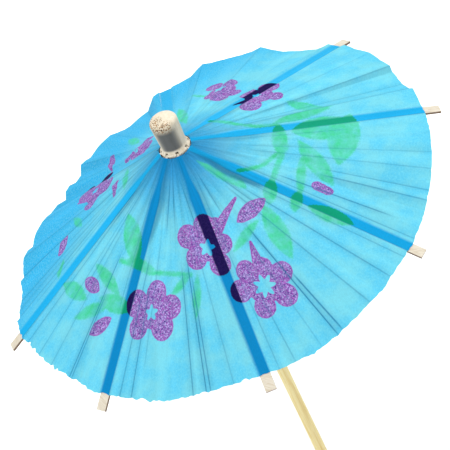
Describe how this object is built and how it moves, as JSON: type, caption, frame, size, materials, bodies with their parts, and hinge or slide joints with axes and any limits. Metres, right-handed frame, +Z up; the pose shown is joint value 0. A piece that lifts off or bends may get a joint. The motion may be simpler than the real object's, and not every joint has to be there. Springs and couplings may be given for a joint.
{
  "type": "cocktail parasol",
  "caption": "Small folding tissue-paper parasol on a pointed bamboo stick, with a turned wooden finial, splint ribs and struts, and a sliding runner.",
  "frame": {"origin": "on the stick's axis, where its lower point begins", "axes": "+Z up the stick to the finial; -Y towards the side the print faces"},
  "size_m": [0.0944, 0.0892, 0.1102],
  "materials": {
    "bamboo_stick": "satin",
    "turned_wood": "matte",
    "splint": "matte",
    "thread": "matte",
    "pin_wire": "satin",
    "newsprint": "matte",
    "ring_plastic": "satin",
    "tissue": "matte"
  },
  "bodies": {
    "handle": {"stick": "bamboo_stick", "finial": "turned_wood", "hub_thread": "thread", "newsprint_roll": "newsprint"},
    "runner": {"runner": "turned_wood", "runner_thread": "thread"},
    "retaining_ring": {"retaining_ring": "ring_plastic"},
    "rib_1": {"rib_1": "splint", "rib_pin_1": "pin_wire", "canopy_panel_1": "tissue"},
    "strut_1": {"strut_1": "splint", "strut_tie_1": "thread"},
    "rib_2": {"rib_2": "splint", "rib_pin_2": "pin_wire", "canopy_panel_2": "tissue"},
    "strut_2": {"strut_2": "splint", "strut_tie_2": "thread"},
    "rib_3": {"rib_3": "splint", "rib_pin_3": "pin_wire", "canopy_panel_3": "tissue"},
    "strut_3": {"strut_3": "splint", "strut_tie_3": "thread"},
    "rib_4": {"rib_4": "splint", "rib_pin_4": "pin_wire", "canopy_panel_4": "tissue"},
    "strut_4": {"strut_4": "splint", "strut_tie_4": "thread"},
    "rib_5": {"rib_5": "splint", "rib_pin_5": "pin_wire", "canopy_panel_5": "tissue"},
    "strut_5": {"strut_5": "splint", "strut_tie_5": "thread"},
    "rib_6": {"rib_6": "splint", "rib_pin_6": "pin_wire", "canopy_panel_6": "tissue"},
    "strut_6": {"strut_6": "splint", "strut_tie_6": "thread"},
    "rib_7": {"rib_7": "splint", "rib_pin_7": "pin_wire", "canopy_panel_7": "tissue"},
    "strut_7": {"strut_7": "splint", "strut_tie_7": "thread"},
    "rib_8": {"rib_8": "splint", "rib_pin_8": "pin_wire", "canopy_panel_8": "tissue"},
    "strut_8": {"strut_8": "splint", "strut_tie_8": "thread"}
  },
  "joints": [
    {"name": "runner_slide", "type": "slide", "parent": "handle", "child": "runner", "axis": [0, 0, -1], "range_m": [0, 0.0176], "deforming": ["canopy_panel_1", "canopy_panel_2", "canopy_panel_3", "canopy_panel_4", "canopy_panel_5", "canopy_panel_6", "canopy_panel_7", "canopy_panel_8"]},
    {"name": "ring_slide", "type": "slide", "parent": "handle", "child": "retaining_ring", "axis": [0, 0, -1], "range_m": [0, 0.01761]},
    {"name": "rib_hinge_1", "type": "hinge", "parent": "handle", "child": "rib_1", "pos_m": [-0.00259, -0.00027, 0.095], "axis": [0.1045, -0.9945, 0], "range_deg": [0, 49.52]},
    {"name": "strut_pivot_1", "type": "hinge", "parent": "rib_1", "child": "strut_1", "pos_m": [-0.01757, -0.00185, 0.08613], "axis": [0.1045, -0.9945, 0], "range_deg": [-103.71, 0]},
    {"name": "rib_hinge_2", "type": "hinge", "parent": "handle", "child": "rib_2", "pos_m": [-0.00189, -0.00179, 0.095], "axis": [0.6884, -0.7254, 0], "range_deg": [0, 47.02]},
    {"name": "strut_pivot_2", "type": "hinge", "parent": "rib_2", "child": "strut_2", "pos_m": [-0.01278, -0.01213, 0.08525], "axis": [0.6884, -0.7254, 0], "range_deg": [-103.42, 0]},
    {"name": "rib_hinge_3", "type": "hinge", "parent": "handle", "child": "rib_3", "pos_m": [-0.00005, -0.0026, 0.095], "axis": [0.9998, -0.0175, 0], "range_deg": [0, 46.52]},
    {"name": "strut_pivot_3", "type": "hinge", "parent": "rib_3", "child": "strut_3", "pos_m": [-0.00031, -0.0176, 0.08507], "axis": [0.9998, -0.0175, 0], "range_deg": [-103.38, 0]},
    {"name": "rib_hinge_4", "type": "hinge", "parent": "handle", "child": "rib_4", "pos_m": [0.00195, -0.00172, 0.095], "axis": [0.6626, 0.749, 0], "range_deg": [0, 52.52]},
    {"name": "strut_pivot_4", "type": "hinge", "parent": "rib_4", "child": "strut_4", "pos_m": [0.01323, -0.0117, 0.08716], "axis": [0.6626, 0.749, 0], "range_deg": [-104.18, 0]},
    {"name": "rib_hinge_5", "type": "hinge", "parent": "handle", "child": "rib_5", "pos_m": [0.0026, 0.00002, 0.095], "axis": [-0.0087, 1, 0], "range_deg": [0, 59.52]},
    {"name": "strut_pivot_5", "type": "hinge", "parent": "rib_5", "child": "strut_5", "pos_m": [0.01747, 0.00015, 0.08944], "axis": [-0.0087, 1, 0], "range_deg": [-105.74, 0]},
    {"name": "rib_hinge_6", "type": "hinge", "parent": "handle", "child": "rib_6", "pos_m": [0.00201, 0.00165, 0.095], "axis": [-0.6361, 0.7716, 0], "range_deg": [0, 61.02]},
    {"name": "strut_pivot_6", "type": "hinge", "parent": "rib_6", "child": "strut_6", "pos_m": [0.01343, 0.01107, 0.0899], "axis": [-0.6361, 0.7716, 0], "range_deg": [-106.15, 0]},
    {"name": "rib_hinge_7", "type": "hinge", "parent": "handle", "child": "rib_7", "pos_m": [0.00002, 0.0026, 0.095], "axis": [-1, 0.0087, 0], "range_deg": [0, 55.52]},
    {"name": "strut_pivot_7", "type": "hinge", "parent": "rib_7", "child": "strut_7", "pos_m": [0.00015, 0.01761, 0.08816], "axis": [-1, 0.0087, 0], "range_deg": [-104.77, 0]},
    {"name": "rib_hinge_8", "type": "hinge", "parent": "handle", "child": "rib_8", "pos_m": [-0.00182, 0.00185, 0.095], "axis": [-0.7133, -0.7009, 0], "range_deg": [0, 48.02]},
    {"name": "strut_pivot_8", "type": "hinge", "parent": "rib_8", "child": "strut_8", "pos_m": [-0.01236, 0.01258, 0.0856], "axis": [-0.7133, -0.7009, 0], "range_deg": [-103.53, 0]}
  ],
  "couplings": [
    {"joint": "ring_slide", "follows": "runner_slide", "ratio": 1},
    {"joint": "rib_hinge_1", "follows": "runner_slide", "rad_per_m": 49.087},
    {"joint": "strut_pivot_1", "follows": "runner_slide", "rad_per_m": -102.82},
    {"joint": "rib_hinge_2", "follows": "runner_slide", "rad_per_m": 46.608},
    {"joint": "strut_pivot_2", "follows": "runner_slide", "rad_per_m": -102.53},
    {"joint": "rib_hinge_3", "follows": "runner_slide", "rad_per_m": 46.112},
    {"joint": "strut_pivot_3", "follows": "runner_slide", "rad_per_m": -102.48},
    {"joint": "rib_hinge_4", "follows": "runner_slide", "rad_per_m": 52.062},
    {"joint": "strut_pivot_4", "follows": "runner_slide", "rad_per_m": -103.28},
    {"joint": "rib_hinge_5", "follows": "runner_slide", "rad_per_m": 59.004},
    {"joint": "strut_pivot_5", "follows": "runner_slide", "rad_per_m": -104.83},
    {"joint": "rib_hinge_6", "follows": "runner_slide", "rad_per_m": 60.492},
    {"joint": "strut_pivot_6", "follows": "runner_slide", "rad_per_m": -105.24},
    {"joint": "rib_hinge_7", "follows": "runner_slide", "rad_per_m": 55.037},
    {"joint": "strut_pivot_7", "follows": "runner_slide", "rad_per_m": -103.87},
    {"joint": "rib_hinge_8", "follows": "runner_slide", "rad_per_m": 47.6},
    {"joint": "strut_pivot_8", "follows": "runner_slide", "rad_per_m": -102.63}
  ]
}
